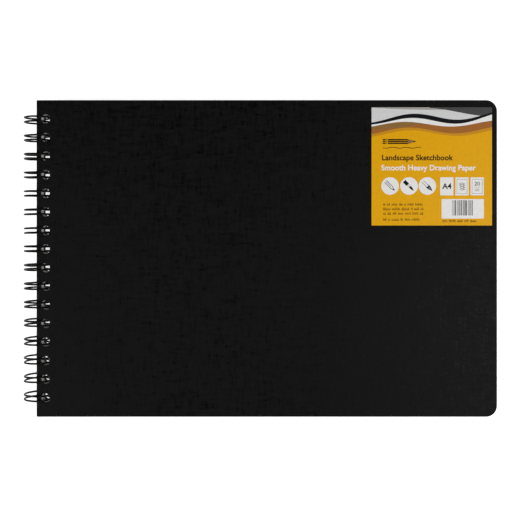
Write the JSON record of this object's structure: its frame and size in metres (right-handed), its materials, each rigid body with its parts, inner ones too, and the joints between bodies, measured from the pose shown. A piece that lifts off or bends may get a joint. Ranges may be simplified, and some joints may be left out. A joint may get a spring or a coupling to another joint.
{
  "type": "sketchbook",
  "caption": "Landscape A4 hardback sketchbook: cloth-covered boards and punched drawing sheets that turn on a twin-loop wire along the left edge.",
  "frame": {"origin": "centre of the base: below the middle of the book's box, at the level of the lowest point of the wire loops", "axes": "+X from the wire-bound spine to the fore-edge, +Y to the head of the book, +Z out of the front cover"},
  "size_m": [0.3243, 0.216, 0.0185],
  "materials": {
    "bookcloth": "matt black woven bookcloth",
    "coverboard": "black-dyed board, seen only in the punched holes",
    "endpaper": "black uncoated paper",
    "drawing_paper": "white cartridge paper with a fine tooth",
    "wire": "black nylon-coated steel, semi-gloss",
    "label": "satin printed paper"
  },
  "bodies": {
    "back_cover": {"back_cloth": "bookcloth", "back_board": "coverboard", "back_endpaper": "endpaper"},
    "wire": {"binding_wire": "wire"},
    "sheet_20": {"sheet_20": "drawing_paper"},
    "sheet_19": {"sheet_19": "drawing_paper"},
    "sheet_18": {"sheet_18": "drawing_paper"},
    "sheet_17": {"sheet_17": "drawing_paper"},
    "sheet_16": {"sheet_16": "drawing_paper"},
    "sheet_15": {"sheet_15": "drawing_paper"},
    "sheet_14": {"sheet_14": "drawing_paper"},
    "sheet_13": {"sheet_13": "drawing_paper"},
    "sheet_12": {"sheet_12": "drawing_paper"},
    "sheet_11": {"sheet_11": "drawing_paper"},
    "sheet_10": {"sheet_10": "drawing_paper"},
    "sheet_09": {"sheet_09": "drawing_paper"},
    "sheet_08": {"sheet_08": "drawing_paper"},
    "sheet_07": {"sheet_07": "drawing_paper"},
    "sheet_06": {"sheet_06": "drawing_paper"},
    "sheet_05": {"sheet_05": "drawing_paper"},
    "sheet_04": {"sheet_04": "drawing_paper"},
    "sheet_03": {"sheet_03": "drawing_paper"},
    "sheet_02": {"sheet_02": "drawing_paper"},
    "sheet_01": {"sheet_01": "drawing_paper"},
    "front_cover": {"front_cloth": "bookcloth", "front_board": "coverboard", "front_endpaper": "endpaper", "front_label": "label"}
  },
  "joints": [
    {"name": "wire_turn", "type": "hinge", "parent": "back_cover", "child": "wire", "pos_m": [-0.15282, 0, 0.00935], "axis": [0, -1, 0], "range_deg": [0, 180]},
    {"name": "sheet_20_turn", "type": "hinge", "parent": "wire", "child": "sheet_20", "pos_m": [-0.15282, 0, 0.00935], "axis": [0, -1, 0], "range_deg": [0, 180]},
    {"name": "sheet_19_turn", "type": "hinge", "parent": "sheet_20", "child": "sheet_19", "pos_m": [-0.15282, 0, 0.00935], "axis": [0, -1, 0], "range_deg": [0, 180]},
    {"name": "sheet_18_turn", "type": "hinge", "parent": "sheet_19", "child": "sheet_18", "pos_m": [-0.15282, 0, 0.00935], "axis": [0, -1, 0], "range_deg": [0, 180]},
    {"name": "sheet_17_turn", "type": "hinge", "parent": "sheet_18", "child": "sheet_17", "pos_m": [-0.15282, 0, 0.00935], "axis": [0, -1, 0], "range_deg": [0, 180]},
    {"name": "sheet_16_turn", "type": "hinge", "parent": "sheet_17", "child": "sheet_16", "pos_m": [-0.15282, 0, 0.00935], "axis": [0, -1, 0], "range_deg": [0, 180]},
    {"name": "sheet_15_turn", "type": "hinge", "parent": "sheet_16", "child": "sheet_15", "pos_m": [-0.15282, 0, 0.00935], "axis": [0, -1, 0], "range_deg": [0, 180]},
    {"name": "sheet_14_turn", "type": "hinge", "parent": "sheet_15", "child": "sheet_14", "pos_m": [-0.15282, 0, 0.00935], "axis": [0, -1, 0], "range_deg": [0, 180]},
    {"name": "sheet_13_turn", "type": "hinge", "parent": "sheet_14", "child": "sheet_13", "pos_m": [-0.15282, 0, 0.00935], "axis": [0, -1, 0], "range_deg": [0, 180]},
    {"name": "sheet_12_turn", "type": "hinge", "parent": "sheet_13", "child": "sheet_12", "pos_m": [-0.15282, 0, 0.00935], "axis": [0, -1, 0], "range_deg": [0, 180]},
    {"name": "sheet_11_turn", "type": "hinge", "parent": "sheet_12", "child": "sheet_11", "pos_m": [-0.15282, 0, 0.00935], "axis": [0, -1, 0], "range_deg": [0, 180]},
    {"name": "sheet_10_turn", "type": "hinge", "parent": "sheet_11", "child": "sheet_10", "pos_m": [-0.15282, 0, 0.00935], "axis": [0, -1, 0], "range_deg": [0, 180]},
    {"name": "sheet_09_turn", "type": "hinge", "parent": "sheet_10", "child": "sheet_09", "pos_m": [-0.15282, 0, 0.00935], "axis": [0, -1, 0], "range_deg": [0, 180]},
    {"name": "sheet_08_turn", "type": "hinge", "parent": "sheet_09", "child": "sheet_08", "pos_m": [-0.15282, 0, 0.00935], "axis": [0, -1, 0], "range_deg": [0, 180]},
    {"name": "sheet_07_turn", "type": "hinge", "parent": "sheet_08", "child": "sheet_07", "pos_m": [-0.15282, 0, 0.00935], "axis": [0, -1, 0], "range_deg": [0, 180]},
    {"name": "sheet_06_turn", "type": "hinge", "parent": "sheet_07", "child": "sheet_06", "pos_m": [-0.15282, 0, 0.00935], "axis": [0, -1, 0], "range_deg": [0, 180]},
    {"name": "sheet_05_turn", "type": "hinge", "parent": "sheet_06", "child": "sheet_05", "pos_m": [-0.15282, 0, 0.00935], "axis": [0, -1, 0], "range_deg": [0, 180]},
    {"name": "sheet_04_turn", "type": "hinge", "parent": "sheet_05", "child": "sheet_04", "pos_m": [-0.15282, 0, 0.00935], "axis": [0, -1, 0], "range_deg": [0, 180]},
    {"name": "sheet_03_turn", "type": "hinge", "parent": "sheet_04", "child": "sheet_03", "pos_m": [-0.15282, 0, 0.00935], "axis": [0, -1, 0], "range_deg": [0, 180]},
    {"name": "sheet_02_turn", "type": "hinge", "parent": "sheet_03", "child": "sheet_02", "pos_m": [-0.15282, 0, 0.00935], "axis": [0, -1, 0], "range_deg": [0, 180]},
    {"name": "sheet_01_turn", "type": "hinge", "parent": "sheet_02", "child": "sheet_01", "pos_m": [-0.15282, 0, 0.00935], "axis": [0, -1, 0], "range_deg": [0, 180]},
    {"name": "front_cover_turn", "type": "hinge", "parent": "sheet_01", "child": "front_cover", "pos_m": [-0.15282, 0, 0.00935], "axis": [0, -1, 0], "range_deg": [0, 180]}
  ]
}
